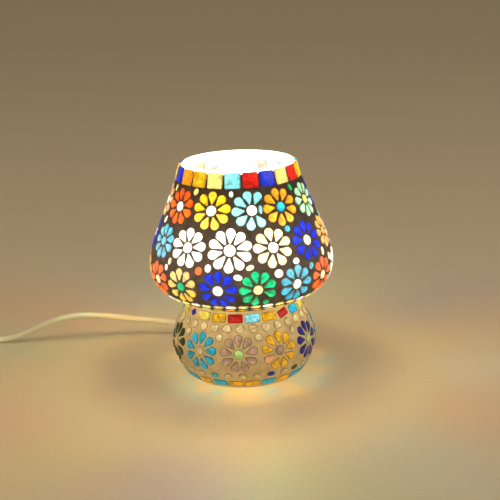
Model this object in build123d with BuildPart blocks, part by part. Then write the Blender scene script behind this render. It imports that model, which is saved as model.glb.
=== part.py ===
from build123d import *
import math
import os
import random
from bisect import bisect_right

# ---------------------------------------------------------------- driving sizes, mm
# Blown glass vessel: shade, waist and base in one piece. Radii are the glass's outside.
lamp_height = 166.0
waist_height = 61.6
rim_radius = 41.4
shade_radius = 67.6
waist_radius = 39.0
base_radius = 53.4
foot_radius = 40.6
glass_wall = 2.4
floor_thickness = 3.0
pad_thickness = 1.0
pad_inset = 2.4

# Mosaic skin on the glass.
bed_thickness = 0.6
tile_thickness = 1.8
bedding_gap = 0.05
tile_joint = 0.9
laying_turn = 2.0
laying_shift = 0.12
square_corner = 1.2
section_end_margin = 0.6

# Lampholder, on the lamp's axis.
holder_radius = 14.0
holder_wall = 2.0
holder_top = 74.0
holder_bottom = 36.0
holder_floor = 2.0
ring_width = 4.0
ring_height = 3.0
shell_wall = 0.35
shell_height = 18.0
core_floor = 44.0
core_seat = 48.5
tongue_radius = 3.0
tongue_thickness = 0.5
terminal_radius = 1.5
terminal_offset = 8.6
terminal_length = 1.6
shell_proud = 1.0

# Clamp: a bar above the waist, a strap below it, a hollow threaded nipple and two nuts.
bar_width = 12.0
bar_thickness = 1.6
bar_overlap = 7.0
bar_seat = 68.0
strap_overlap = 2.0
strap_arm_height = 46.0
strap_arm = 11.0
strap_centre_half = 17.0
nipple_radius = 5.0
nipple_bore = 3.0
nut_across_flats = 15.0
nut_height = 3.0
nipple_tail = 3.0
nipple_proud = 0.6
pad_length = 5.0
pad_margin = 2.0
upper_pad_inset = 1.0
lower_pad_inset = 0.5
hole_clearance = 0.3

# LED bulb with a small screw cap.
globe_radius = 22.5
globe_wall = 1.0
globe_height = 104.0
housing_top_radius = 16.4
housing_neck_radius = 9.0
housing_neck_flare = 0.6
housing_neck_rise = 1.5
housing_bulge = 4.6
housing_bulge_share = 0.55
housing_lap = 0.8
insulator_taper = 0.6
cap_radius = 6.95
cap_height = 19.5
bulb_contact_radius = 2.6
bulb_contact_height = 1.7
insulator_height = 2.5
board_thickness = 1.6
led_side = 3.0
led_height = 0.8
led_count = 8
moving_gap = 0.3

# Mains lead.
cord_diameter = 5.0
lead_diameter = 4.0
exit_azimuth = -145.0
exit_height = 13.0
relief_hole_radius = 4.0
relief_root_radius = 6.0
relief_tip_radius = 3.2
relief_length = 22.0
coil_turns_per_layer = 3.5
coil_inner_turn_radius = 21.25
coil_centre_x = -349.0
coil_tail_length = 44.0
cord_line_y = 78.5
lead_hole_run = 10.0

# In-line rocker switch.
switch_length = 56.0
switch_width = 25.0
switch_height = 15.0
switch_seam = 5.5
switch_near_end = -243.0
switch_corner = 6.0
switch_edge = 2.5
rocker_length = 16.0
rocker_width = 10.0
rocker_rise = 4.0
rocker_drop = 2.5
rocker_dip = 1.2
rocker_tilt = 12.0
rocker_pivot_height = 12.7
trunnion_radius = 1.5
trunnion_length = 2.0
trunnion_clearance = 0.05
slot_end_clearance = 0.9
switch_pocket_length = 36.0
switch_pocket_height = 5.0
screw_radius = 1.5
screw_head_radius = 2.8
screw_head_height = 1.6
screw_length = 9.0
screw_recess = 0.4
screw_from_end = 5.0
screw_end_gap = 0.5
contact_thickness = 0.8
contact_length = 11.0
contact_width = 5.0
contact_offset = 9.0

# Two-pin plug.
plug_length = 35.0
plug_nose_width = 30.0
plug_back_width = 9.0
plug_neck_length = 11.0
plug_nose_length = 12.0
plug_corner = 3.0
plug_edge = 1.5
plug_thickness = 14.0
pin_radius = 2.0
pin_length = 19.0
pin_spacing = 19.0


# ---------------------------------------------------------------- the glass's profile
def between(low, high, share):
    """The value that lies that share of the way from low to high."""
    return low + (high - low) * share


base_rise = waist_height - pad_thickness
shade_rise = lamp_height - waist_height

foot_to_belly = [(0.0, 0.0), (0.383, 0.089), (0.742, 0.218), (1.0, 0.398)]
belly_to_waist = [(0.889, 0.574), (0.528, 0.761), (0.278, 0.880), (0.083, 0.957), (0.0, 1.0)]
waist_to_shoulder = [
    (0.056, 0.015),
    (0.192, 0.022),
    (0.339, 0.033),
    (0.472, 0.050),
    (0.717, 0.096),
    (0.899, 0.152),
    (0.983, 0.209),
    (1.0, 0.272),
]
shoulder_to_rim = [(0.729, 0.513), (0.309, 0.766), (0.0, 1.0)]

profile = []
for out, up in foot_to_belly:
    profile.append((between(foot_radius, base_radius, out), pad_thickness + base_rise * up))
for out, up in belly_to_waist:
    profile.append((between(waist_radius, base_radius, out), pad_thickness + base_rise * up))
for out, up in waist_to_shoulder:
    profile.append((between(waist_radius, shade_radius, out), waist_height + shade_rise * up))
for out, up in shoulder_to_rim:
    profile.append((between(rim_radius, shade_radius, out), waist_height + shade_rise * up))

profile_curve = Spline(*profile)
samples = 1200
skin_radius = []
skin_height = []
skin_run = []
for step in range(samples + 1):
    at = profile_curve.position_at(step / samples)
    if step:
        along = math.hypot(at.X - skin_radius[-1], at.Y - skin_height[-1])
        skin_run.append(skin_run[-1] + along)
    else:
        skin_run.append(0.0)
    skin_radius.append(at.X)
    skin_height.append(at.Y)


def skin(run):
    """Radius, height and upward direction of the glass at that length up its profile."""
    i = min(max(bisect_right(skin_run, run) - 1, 0), samples - 1)
    share = (run - skin_run[i]) / (skin_run[i + 1] - skin_run[i])
    radius = between(skin_radius[i], skin_radius[i + 1], share)
    height = between(skin_height[i], skin_height[i + 1], share)
    low, high = max(i - 2, 0), min(i + 3, samples)
    out = skin_radius[high] - skin_radius[low]
    up = skin_height[high] - skin_height[low]
    length = math.hypot(out, up)
    return radius, height, out / length, up / length


def run_at(height):
    """Length up the glass's profile at which it has that height."""
    i = min(max(bisect_right(skin_height, height) - 1, 0), samples - 1)
    share = (height - skin_height[i]) / (skin_height[i + 1] - skin_height[i])
    return between(skin_run[i], skin_run[i + 1], share)


def offset_profile(distance, lowest, highest):
    """Points of the glass's profile moved outward, with both ends cut at those heights."""
    heights = []
    for (_, low), (_, high) in zip(profile, profile[1:]):
        heights += [low, between(low, high, 1 / 3), between(low, high, 2 / 3)]
    heights.append(profile[-1][1])
    points = []
    for height in heights:
        radius, at, out, up = skin(run_at(height))
        moved = (radius + up * distance, at - out * distance)
        if lowest + section_end_margin < moved[1] < highest - section_end_margin:
            points.append(moved)
    for end, place in ((points[1], 0), (points[-2], len(points) + 1)):
        target = lowest if place == 0 else highest
        near = points[0] if place == 0 else points[-1]
        slope = (near[0] - end[0]) / (near[1] - end[1])
        points.insert(place, (near[0] + slope * (target - near[1]), target))
    return points


inner_floor = pad_thickness + floor_thickness
inside = offset_profile(-glass_wall, inner_floor, lamp_height)
bed_face = offset_profile(bed_thickness, pad_thickness, lamp_height)
foot_point, rim_point = profile[0], profile[-1]


# ---------------------------------------------------------------- places on the skin
dice = random.Random(12)


def point_on_skin(azimuth, run, lift=0.0):
    """Point that far outside the glass. Azimuth 0 is the front and grows towards +X."""
    radius, height, out, up = skin(run)
    turn = math.radians(azimuth)
    away = radius + up * lift
    return Vector(away * math.sin(turn), -away * math.cos(turn), height - out * lift)


def normal_on_skin(azimuth, run):
    """Direction straight out of the glass."""
    _, _, out, up = skin(run)
    turn = math.radians(azimuth)
    return Vector(up * math.sin(turn), -up * math.cos(turn), -out)


def across(azimuth, run, sideways, upward):
    """Azimuth and run of the place that far sideways and upward along the skin."""
    far = run + upward
    radius = skin((run + far) / 2)[0]
    return azimuth + math.degrees(sideways / radius), far


def hollow_lift(run, reach):
    """How far the skin stands above its tangent plane within that reach, where it is hollow."""
    here, out = point_on_skin(0.0, run), normal_on_skin(0.0, run)
    ends = (point_on_skin(0.0, run + side * reach) - here for side in (-1, 1))
    return max(0.0, *(end.dot(out) for end in ends))


def tile_plane(azimuth, run, angle=0.0, reach=0.0):
    """Plane of a tile's back face, its x axis at that angle from the ring's direction."""
    angle += dice.uniform(-laying_turn, laying_turn)
    step = 0.5
    side, rise = step * math.cos(math.radians(angle)), step * math.sin(math.radians(angle))
    ahead = point_on_skin(*across(azimuth, run, side, rise))
    behind = point_on_skin(*across(azimuth, run, -side, -rise))
    return Plane(
        origin=point_on_skin(azimuth, run, bed_thickness + bedding_gap + hollow_lift(run, reach)),
        x_dir=ahead - behind,
        z_dir=normal_on_skin(azimuth, run),
    )


def shade_run(share):
    """Run up the profile at that share of the shade's height."""
    return run_at(waist_height + shade_rise * share)


def base_run(share):
    """Run up the profile at that share of the base's height."""
    return run_at(pad_thickness + base_rise * share)


tiles = {}


def lay(region, glass, shape, plane):
    """Adds one tile to the node of its region and glass. A shape is a name and its sizes."""
    tiles.setdefault((region, glass), {}).setdefault(shape, []).append(plane)


def clear_of_cord(azimuth, run, reach):
    """Whether a tile of that reach stays off the strain relief's foot."""
    apart = math.radians((azimuth - exit_azimuth + 180.0) % 360.0 - 180.0)
    radius, height, _, _ = skin(run)
    away = math.hypot(apart * radius, height - exit_height)
    return away > reach + relief_root_radius + tile_joint


def lay_piece(region, glass, shape, azimuth, run, angle=0.0):
    """One single tile, unless the cord's strain relief is in its place."""
    azimuth, run = across(azimuth, run, dice.uniform(-laying_shift, laying_shift), 0.0)
    if clear_of_cord(azimuth, run, shape[1] / 2):
        reach = shape[2] / 2 if shape[0] == "square" else 0.0
        lay(region, glass, shape, tile_plane(azimuth, run, angle, reach))


core_share = 0.265
root_share = 0.325
full_flower = 9.2
petal_width_share = 0.232
root_width_share = 0.05


def lay_flower(region, azimuth, run, radius, petals, first, glass, core, left_out=()):
    """A flower: a round centre tile and petals around it, the first at that angle."""
    if not clear_of_cord(azimuth, run, radius):
        radius -= cord_diameter
    lay(region, core, ("round", 2 * core_share * radius), tile_plane(azimuth, run))
    middle = (root_share + 1.0) / 2 * radius
    for number in range(petals):
        if number in left_out:
            continue
        angle = first + number * 360.0 / petals
        sideways = middle * math.cos(math.radians(angle))
        upward = middle * math.sin(math.radians(angle))
        spot = across(azimuth, run, sideways, upward)
        lay(region, glass, ("petal", round(radius, 3), petals), tile_plane(*spot, angle))


def ring_pitch(run, count):
    """Distance between that many tiles spread around the skin at that run."""
    return 2 * math.pi * skin(run)[0] / count


# ---------------------------------------------------------------- the shade's mosaic
rim_count = 22
rim_turn = -5.5
rim_glass = (
    "sky red blue cream red yellow cyan amber blue white red green yellow "
    "sky orange red blue yellow blue amber yellow cream"
).split()
rim_tile_height = 11.6
rim_run = shade_run(0.934)
for number, glass in enumerate(rim_glass):
    width = ring_pitch(rim_run, rim_count) - tile_joint
    shape = ("square", width, rim_tile_height)
    spot = rim_turn + number * 360.0 / rim_count
    lay_piece("shade", glass, shape, spot, rim_run)

# Rows of flowers: azimuth, radius, petals, angle of the first, glass, centre, left out.
upper_row = [
    (-55.0, 13.5, 9, 100, "orange", "white"),
    (-22.6, 14.0, 9, 90, "yellow", "white"),
    (9.6, 14.1, 9, 102, "sky", "white", (6, 7)),
    (34.2, 13.9, 9, 100, "amber", "cyan"),
    (66.4, 13.2, 9, 95, "mint", "cream"),
    (96.0, 12.7, 9, 90, "blue", "white"),
    (125.8, 12.7, 9, 95, "yellow", "green"),
    (155.6, 12.7, 9, 100, "orange", "cream"),
    (185.4, 12.7, 9, 90, "sky", "white"),
    (215.2, 12.7, 9, 95, "red", "cream"),
    (245.0, 12.7, 9, 100, "mint", "white"),
    (275.0, 12.7, 9, 90, "peach", "white"),
]
middle_row = [
    (-63.0, 13.0, 9, 100, "cyan", "cyan"),
    (-37.0, 14.5, 9, 90, "white", "white"),
    (-7.3, 15.8, 10, 87, "white", "white"),
    (21.2, 14.5, 9, 97, "cream", "white"),
    (49.6, 14.7, 9, 90, "blue", "cream"),
    (75.4, 12.6, 9, 95, "amber", "amber"),
    (102.9, 14.4, 9, 90, "sky", "white"),
    (130.6, 14.4, 9, 100, "white", "cream"),
    (158.3, 14.4, 9, 90, "blue", "white"),
    (186.0, 14.4, 9, 95, "cream", "amber"),
    (213.7, 14.4, 9, 90, "green", "cream"),
    (241.4, 14.4, 9, 100, "white", "white"),
    (268.9, 13.6, 9, 90, "blue", "cream"),
]
lower_row = [
    (-63.2, 13.6, 9, 100, "orange", "cream"),
    (-39.8, 13.6, 9, 98, "yellow", "green"),
    (-14.7, 14.4, 9, 87, "blue", "white"),
    (9.2, 14.0, 9, 100, "green", "cream", (5,)),
    (34.6, 14.0, 9, 82, "cyan", "white"),
    (58.9, 13.6, 9, 90, "orange", "cream"),
    (83.0, 13.6, 9, 95, "white", "cream"),
    (107.0, 13.6, 9, 90, "amber", "white"),
    (131.0, 13.6, 9, 100, "blue", "cream"),
    (155.0, 13.6, 9, 90, "mint", "white"),
    (179.0, 13.6, 9, 95, "yellow", "cyan"),
    (203.0, 13.6, 9, 100, "cyan", "white"),
    (227.0, 13.6, 9, 90, "orange", "cream"),
    (250.5, 13.6, 9, 95, "green", "white"),
    (273.6, 13.6, 9, 100, "amber", "cream"),
]


def lay_row(region, run, row, laid_ring_pitch, row_pitch, laid_row_pitch):
    """A row of flowers, cut larger or smaller as the room around and between rows is."""
    room = min(ring_pitch(run, len(row)) / laid_ring_pitch, row_pitch / laid_row_pitch)
    for azimuth, radius, petals, first, glass, core, *left_out in row:
        skipped = left_out[0] if left_out else ()
        size = radius * room
        lay_flower(region, azimuth, run, size, petals, first, glass, core, skipped)


upper_run, middle_run, lower_run = shade_run(0.737), shade_run(0.4895), shade_run(0.228)
upper_room = min(upper_run - middle_run, rim_run - upper_run + rim_tile_height / 2)
shade_room = min(upper_run - middle_run, middle_run - lower_run)
lay_row("shade", upper_run, upper_row, 25.9, upper_room, 27.2)
lay_row("shade", middle_run, middle_row, 29.2, shade_room, 27.9)
lay_row("shade", lower_run, lower_row, 28.2, middle_run - lower_run, 29.0)

# Single pieces in the gaps: share of height, azimuth, length, width, angle, glass.
shade_fillers = [
    (0.850, -39.6, 5.6, 4.4, 60, "cream"),
    (0.846, -6.5, 4.4, 3.4, 90, "white"),
    (0.846, 50.2, 6.0, 3.6, 110, "green"),
    (0.846, -69.5, 6.0, 3.4, 80, "cream"),
    (0.737, 16.5, 6.4, 3.0, 90, "sky"),
    (0.622, -71.5, 6.0, 3.6, 70, "white"),
    (0.592, 35.0, 4.8, 4.8, 0, "cyan"),
    (0.592, -7.0, 4.4, 3.6, 0, "white"),
    (0.380, -50.6, 5.6, 3.6, 80, "cream"),
    (0.334, -53.0, 4.8, 3.2, 90, "white"),
    (0.352, -27.0, 6.2, 5.8, 60, "orange"),
    (0.374, -20.8, 5.6, 4.8, 80, "white"),
    (0.318, -2.4, 6.4, 4.4, 170, "white"),
    (0.378, 5.0, 6.0, 3.8, 20, "cream"),
    (0.322, 22.4, 6.4, 6.0, 0, "white"),
    (0.380, 35.4, 5.4, 4.6, 0, "white"),
    (0.322, 47.0, 5.4, 4.4, 60, "cyan"),
    (0.380, 62.6, 6.6, 4.0, 80, "cream"),
    (0.322, 71.0, 6.0, 4.4, 90, "cream"),
    (0.135, 14.6, 5.2, 5.2, 0, "green"),
]
for share, azimuth, length, width, angle, glass in shade_fillers:
    lay_piece("shade", glass, ("oval", length, width), azimuth, shade_run(share), angle)

unseen_filler_glass = ["cream", "white", "cyan", "cream", "orange", "white"]
for number in range(6):
    azimuth = (upper_row[5 + number][0] + upper_row[6 + number][0]) / 2
    glass = unseen_filler_glass[number]
    lay_piece("shade", glass, ("oval", 5.0, 4.0), azimuth, shade_run(0.846), 90)
for number in range(7):
    azimuth = (middle_row[5 + number][0] + middle_row[6 + number][0]) / 2
    glass = unseen_filler_glass[(number + 2) % 6]
    lay_piece("shade", glass, ("oval", 5.2, 4.6), azimuth, shade_run(0.375), 0)
for number in range(8):
    azimuth = (lower_row[6 + number][0] + lower_row[7 + number][0]) / 2
    glass = unseen_filler_glass[(number + 4) % 6]
    lay_piece("shade", glass, ("oval", 5.2, 4.6), azimuth, shade_run(0.322), 0)

# Two rings of small ovals where the shade folds under.
fold_rings = [
    (shade_run(0.097), 42, 4.5, ["cream", "cream", "white"]),
    (shade_run(0.0655), 38, 3.8, ["yellow", "amber", "cream"]),
]
for run, count, width, glasses in fold_rings:
    length = ring_pitch(run, count) - tile_joint
    for number in range(count):
        azimuth = number * 360.0 / count
        glass = glasses[number % len(glasses)]
        lay_piece("shade", glass, ("oval", length, width), azimuth, run)

# ---------------------------------------------------------------- the base's mosaic
band_count = 22
band_turn = -8.0
band_glass = (
    "red sky amber red cyan yellow amber clear blue yellow red cyan "
    "amber yellow blue clear red cyan yellow blue yellow amber"
).split()
band_run = base_run(0.890)
band_tile_height = 6.8
askew_tile, askew_turn = 3, 14.0
diamond_tile, diamond_turn = 19, 45.0
for number, glass in enumerate(band_glass):
    width, height, angle = ring_pitch(band_run, band_count) - tile_joint, band_tile_height, 0.0
    if number == askew_tile:
        width, height, angle = width - 2 * tile_joint, height - tile_joint, askew_turn
    if number == diamond_tile:
        width = height = band_tile_height * math.sqrt(0.5)
        angle = diamond_turn
    azimuth = band_turn + number * 360.0 / band_count
    lay_piece("base", glass, ("square", width, height), azimuth, band_run, angle)

dot_count = 31
dot_run = base_run(0.778)
for number in range(dot_count):
    azimuth = -3.6 + number * 360.0 / dot_count
    lay_piece("base", "clear", ("round", 7.0), azimuth, dot_run)

# Azimuth, radius, petals, angle of the first, glass, centre, left out.
base_row = [
    (-70.7, 14.2, 9, 90, "moss", "clear"),
    (-37.9, 14.2, 9, 87, "cyan", "clear"),
    (-4.8, 14.2, 9, 92, "mauve", "lime"),
    (28.2, 14.2, 9, 88, "amber", "mauve", (3,)),
    (61.6, 14.2, 9, 90, "blue", "lime"),
    (94.8, 14.0, 9, 95, "cyan", "clear"),
    (127.4, 14.0, 9, 90, "mauve", "amber"),
    (160.0, 14.0, 9, 100, "amber", "mauve"),
    (192.4, 14.0, 9, 90, "moss", "lime"),
    (224.6, 14.0, 9, 95, "blue", "clear"),
    (256.8, 14.0, 9, 90, "clear", "cyan"),
]
bloom_run = base_run(0.500)
low_run, foot_run = base_run(0.215), base_run(0.100)
base_room = min(dot_run - bloom_run, bloom_run - low_run)
lay_row("base", bloom_run, base_row, 30.1, base_room, 17.5)
odd_petal_angle = base_row[3][3] + 3 * 360.0 / base_row[3][2]
odd_petal_radius = base_row[3][1]
odd_middle = (root_share + 1.0) / 2 * odd_petal_radius
odd_spot = across(
    base_row[3][0],
    bloom_run,
    odd_middle * math.cos(math.radians(odd_petal_angle)),
    odd_middle * math.sin(math.radians(odd_petal_angle)),
)
odd_shape = ("petal", round(odd_petal_radius, 3), base_row[3][2])
lay("base", "peach", odd_shape, tile_plane(*odd_spot, odd_petal_angle))

for number in range(len(base_row)):
    here = base_row[number][0]
    there = base_row[(number + 1) % len(base_row)][0]
    azimuth = here + ((there - here) % 360.0) / 2
    lay_piece("base", "clear", ("round", 6.0), azimuth, base_run(0.676))

low_count = 30
low_glass = "clear clear cyan clear clear clear moss clear blue clear".split()
for number in range(low_count):
    azimuth = -2.6 - number * 360.0 / low_count
    glass = low_glass[number % len(low_glass)]
    lay_piece("base", glass, ("oval", 6.6, 5.0), azimuth, low_run, dice.uniform(-25, 25))

foot_count = 24
foot_tile_height = 6.6
foot_glass = "amber cyan amber cyan cyan amber cyan amber".split()
for number in range(foot_count):
    width = ring_pitch(foot_run, foot_count) - tile_joint
    glass = foot_glass[number % len(foot_glass)]
    azimuth = 6.0 + number * 360.0 / foot_count
    lay_piece("base", glass, ("square", width, foot_tile_height), azimuth, foot_run)


def draw_tile(shape):
    """The outline of one tile in the sketch that is being built."""
    kind, size, *rest = shape
    if kind == "petal":
        petals = rest[0]
        tip = size * petal_width_share * min(1.0, full_flower / petals)
        root = size * root_width_share
        middle = (root_share + 1.0) / 2 * size
        with Locations((size - tip - middle, 0)):
            Circle(tip)
        with Locations((root_share * size + root - middle, 0)):
            Circle(root)
        make_hull()
    elif kind == "round":
        Circle(size / 2)
    elif kind == "oval":
        Ellipse(size / 2, rest[0] / 2)
    else:
        RectangleRounded(size, rest[0], square_corner)


os.makedirs("parts", exist_ok=True)

for (region, glass), shapes in tiles.items():
    with BuildPart() as tile_node:
        for shape, planes in shapes.items():
            with BuildSketch(*planes):
                draw_tile(shape)
            extrude(amount=tile_thickness)
    tile_node.part.label = f"tiles_{region}_{glass}"
    export_step(tile_node.part, f"parts/tiles_{region}_{glass}.step")


# ---------------------------------------------------------------- glass and its bed
with BuildPart() as interior:
    with BuildSketch(Plane.XZ):
        with BuildLine():
            Spline(*inside)
            Polyline(inside[-1], (0, lamp_height), (0, inner_floor), inside[0])
        make_face()
    revolve(axis=Axis.Z)

with BuildPart() as vessel_blank:
    with BuildSketch(Plane.XZ):
        with BuildLine():
            Spline(*profile)
            Polyline(rim_point, (0, lamp_height), (0, pad_thickness), foot_point)
        make_face()
    revolve(axis=Axis.Z)

with BuildPart() as bed_blank:
    with BuildSketch(Plane.XZ):
        with BuildLine():
            Spline(*bed_face)
            Polyline(bed_face[-1], (0, lamp_height), (0, pad_thickness), bed_face[0])
        make_face()
    revolve(axis=Axis.Z)

exit_turn = math.radians(exit_azimuth)
exit_direction = Vector(math.sin(exit_turn), -math.cos(exit_turn), 0)
exit_run = run_at(exit_height)
exit_radius = skin(exit_run)[0]
wall_inside = exit_radius - 3 * glass_wall
wall_outside = exit_radius + 3 * glass_wall
relief_end = exit_radius + relief_length


def along_exit(distance):
    """Plane across the cord's exit direction, that far from the lamp's axis."""
    origin = exit_direction * distance + Vector(0, 0, exit_height)
    return Plane(origin=origin, z_dir=exit_direction)


with BuildPart() as glass_body:
    add(vessel_blank.part)
    add(interior.part, mode=Mode.SUBTRACT)
    with BuildSketch(along_exit(wall_inside)):
        Circle(relief_hole_radius)
    extrude(amount=wall_outside - wall_inside, mode=Mode.SUBTRACT)
glass_body.part.label = "glass_body"
export_step(glass_body.part, "parts/glass_body.step")

for region, low, high in (
    ("shade", waist_height, lamp_height),
    ("base", pad_thickness, waist_height),
):
    with BuildPart() as grout_node:
        add(bed_blank.part)
        add(vessel_blank.part, mode=Mode.SUBTRACT)
        with BuildSketch(Plane.XY.offset(low)):
            Circle(shade_radius + base_radius)
        extrude(amount=high - low, mode=Mode.INTERSECT)
        if region == "base":
            with BuildSketch(along_exit(wall_inside)):
                Circle(relief_hole_radius)
            extrude(amount=wall_outside - wall_inside, mode=Mode.SUBTRACT)
    grout_node.part.label = f"{region}_grout"
    export_step(grout_node.part, f"parts/{region}_grout.step")

with BuildPart() as base_pad:
    with BuildSketch():
        Circle(foot_radius - pad_inset)
    extrude(amount=pad_thickness)
base_pad.part.label = "base_pad"
export_step(base_pad.part, "parts/base_pad.step")


# ---------------------------------------------------------------- clamp and lampholder
bar_top = bar_seat + bar_thickness
bar_reach = waist_radius + bar_overlap
strap_reach = waist_radius + strap_overlap
with BuildPart() as upper_bar:
    with BuildSketch(Plane.XY.offset(bar_seat)):
        SlotOverall(2 * bar_reach, bar_width)
        Circle(holder_radius + ring_width)
        Circle(holder_radius + hole_clearance, mode=Mode.SUBTRACT)
    extrude(amount=bar_thickness)
upper_bar.part.label = "upper_bar"
export_step(upper_bar.part, "parts/upper_bar.step")

strap_top = holder_bottom
strap_line = [
    (-strap_reach, strap_arm_height),
    (-strap_reach + strap_arm, strap_arm_height),
    (-strap_centre_half, strap_top - bar_thickness / 2),
    (strap_centre_half, strap_top - bar_thickness / 2),
    (strap_reach - strap_arm, strap_arm_height),
    (strap_reach, strap_arm_height),
]
with BuildPart() as lower_strap:
    with BuildSketch(Plane.XZ):
        with BuildLine():
            Polyline(*strap_line)
        trace(line_width=bar_thickness)
    extrude(amount=bar_width / 2, both=True)
    with BuildSketch(Plane.XY.offset(strap_top - 2 * bar_thickness)):
        Circle(nipple_radius)
    extrude(amount=4 * bar_thickness, mode=Mode.SUBTRACT)
lower_strap.part.label = "lower_strap"
export_step(lower_strap.part, "parts/lower_strap.step")

with BuildPart() as bar_pads:
    for side in (-1, 1):
        with BuildSketch(Plane.XY.offset(waist_height)):
            with Locations((side * (bar_reach - pad_length / 2 - upper_pad_inset), 0)):
                Rectangle(pad_length, bar_width - 2 * pad_margin)
        extrude(amount=bar_seat - waist_height)
        with BuildSketch(Plane.XY.offset(strap_arm_height + bar_thickness / 2)):
            with Locations((side * (strap_reach - pad_length / 2 - lower_pad_inset), 0)):
                Rectangle(pad_length, bar_width - 2 * pad_margin)
        extrude(amount=waist_height - strap_arm_height)
    add(interior.part, mode=Mode.INTERSECT)
bar_pads.part.label = "bar_pads"
export_step(bar_pads.part, "parts/bar_pads.step")

nipple_bottom = holder_bottom - bar_thickness - nut_height - nipple_tail
nipple_top = holder_bottom + holder_floor + nut_height + nipple_proud
with BuildPart() as nipple:
    with BuildSketch(Plane.XY.offset(nipple_bottom)):
        Circle(nipple_radius)
        Circle(nipple_bore, mode=Mode.SUBTRACT)
    extrude(amount=nipple_top - nipple_bottom)
nipple.part.label = "nipple"
export_step(nipple.part, "parts/nipple.step")

with BuildPart() as nipple_nuts:
    for seat in (holder_bottom - bar_thickness - nut_height, holder_bottom + holder_floor):
        with BuildSketch(Plane.XY.offset(seat)):
            RegularPolygon(nut_across_flats / 2, 6, major_radius=False)
            Circle(nipple_radius, mode=Mode.SUBTRACT)
        extrude(amount=nut_height)
nipple_nuts.part.label = "nipple_nuts"
export_step(nipple_nuts.part, "parts/nipple_nuts.step")

holder_bore = holder_radius - holder_wall
with BuildPart() as holder_body:
    with BuildSketch(Plane.XY.offset(holder_bottom)):
        Circle(holder_radius)
    extrude(amount=holder_top - holder_bottom)
    with BuildSketch(Plane.XY.offset(holder_bottom + holder_floor)):
        Circle(holder_bore)
    extrude(amount=holder_top - holder_bottom, mode=Mode.SUBTRACT)
    with BuildSketch(Plane.XY.offset(holder_bottom)):
        Circle(nipple_radius)
    extrude(amount=holder_floor, mode=Mode.SUBTRACT)
holder_body.part.label = "holder_body"
export_step(holder_body.part, "parts/holder_body.step")

with BuildPart() as holder_ring:
    with BuildSketch(Plane.XY.offset(bar_top)):
        Circle(holder_radius + ring_width)
        Circle(holder_radius, mode=Mode.SUBTRACT)
    extrude(amount=ring_height)
holder_ring.part.label = "holder_ring"
export_step(holder_ring.part, "parts/holder_ring.step")

shell_inner = cap_radius + moving_gap
shell_outer = shell_inner + shell_wall
with BuildPart() as holder_core:
    with BuildSketch(Plane.XY.offset(core_floor)):
        Circle(holder_bore)
    extrude(amount=core_seat + shell_height - core_floor)
    with BuildSketch(Plane.XY.offset(core_seat)):
        Circle(shell_outer)
    extrude(amount=shell_height, mode=Mode.SUBTRACT)
holder_core.part.label = "holder_core"
export_step(holder_core.part, "parts/holder_core.step")

with BuildPart() as holder_shell:
    with BuildSketch(Plane.XY.offset(core_seat)):
        Circle(shell_outer)
        Circle(shell_inner, mode=Mode.SUBTRACT)
    extrude(amount=shell_height + shell_proud)
holder_shell.part.label = "holder_shell"
export_step(holder_shell.part, "parts/holder_shell.step")

with BuildPart() as holder_contact:
    with BuildSketch(Plane.XY.offset(core_seat)):
        Circle(tongue_radius)
    extrude(amount=tongue_thickness)
holder_contact.part.label = "holder_contact"
export_step(holder_contact.part, "parts/holder_contact.step")

with BuildPart() as terminal_screws:
    with BuildSketch(Plane.XY.offset(core_floor)):
        with Locations((-terminal_offset, 0), (terminal_offset, 0)):
            Circle(terminal_radius)
    extrude(amount=-terminal_length)
terminal_screws.part.label = "terminal_screws"
export_step(terminal_screws.part, "parts/terminal_screws.step")


# ---------------------------------------------------------------- bulb
contact_bottom = core_seat + tongue_thickness + moving_gap
cap_bottom = contact_bottom + bulb_contact_height + insulator_height
cap_top = cap_bottom + cap_height
globe_mouth_radius = housing_top_radius - housing_lap
housing_top = globe_height - math.sqrt(globe_radius**2 - globe_mouth_radius**2)
neck_radius, neck_height = housing_neck_radius + housing_neck_flare, holder_top + housing_neck_rise
bulge_height = between(holder_top, housing_top, housing_bulge_share)

with BuildPart() as bulb_contact:
    with BuildSketch(Plane.XY.offset(contact_bottom)):
        Circle(bulb_contact_radius)
    extrude(amount=bulb_contact_height)
bulb_contact.part.label = "bulb_contact"
export_step(bulb_contact.part, "parts/bulb_contact.step")

with BuildPart() as bulb_insulator:
    with BuildSketch(Plane.XY.offset(contact_bottom + bulb_contact_height)):
        Circle(bulb_contact_radius)
    with BuildSketch(Plane.XY.offset(cap_bottom)):
        Circle(cap_radius - insulator_taper)
    loft()
bulb_insulator.part.label = "bulb_insulator"
export_step(bulb_insulator.part, "parts/bulb_insulator.step")

with BuildPart() as bulb_cap:
    with BuildSketch(Plane.XY.offset(cap_bottom)):
        Circle(cap_radius)
    extrude(amount=cap_height)
bulb_cap.part.label = "bulb_cap"
export_step(bulb_cap.part, "parts/bulb_cap.step")

with BuildPart() as bulb_housing:
    with BuildSketch(Plane.XZ):
        with BuildLine():
            Line((0, cap_top), (housing_neck_radius, cap_top))
            Line((housing_neck_radius, cap_top), (neck_radius, neck_height))
            Spline(
                (neck_radius, neck_height),
                (housing_neck_radius + housing_bulge, bulge_height),
                (housing_top_radius, housing_top),
            )
            Polyline((housing_top_radius, housing_top), (0, housing_top), (0, cap_top))
        make_face()
    revolve(axis=Axis.Z)
bulb_housing.part.label = "bulb_housing"
export_step(bulb_housing.part, "parts/bulb_housing.step")

with BuildPart() as bulb_globe:
    with Locations((0, 0, globe_height)):
        Sphere(globe_radius)
        Sphere(globe_radius - globe_wall, mode=Mode.SUBTRACT)
    with BuildSketch(Plane.XY.offset(housing_top)):
        Circle(2 * globe_radius)
    extrude(amount=-2 * globe_radius, mode=Mode.SUBTRACT)
bulb_globe.part.label = "bulb_globe"
export_step(bulb_globe.part, "parts/bulb_globe.step")

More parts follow.
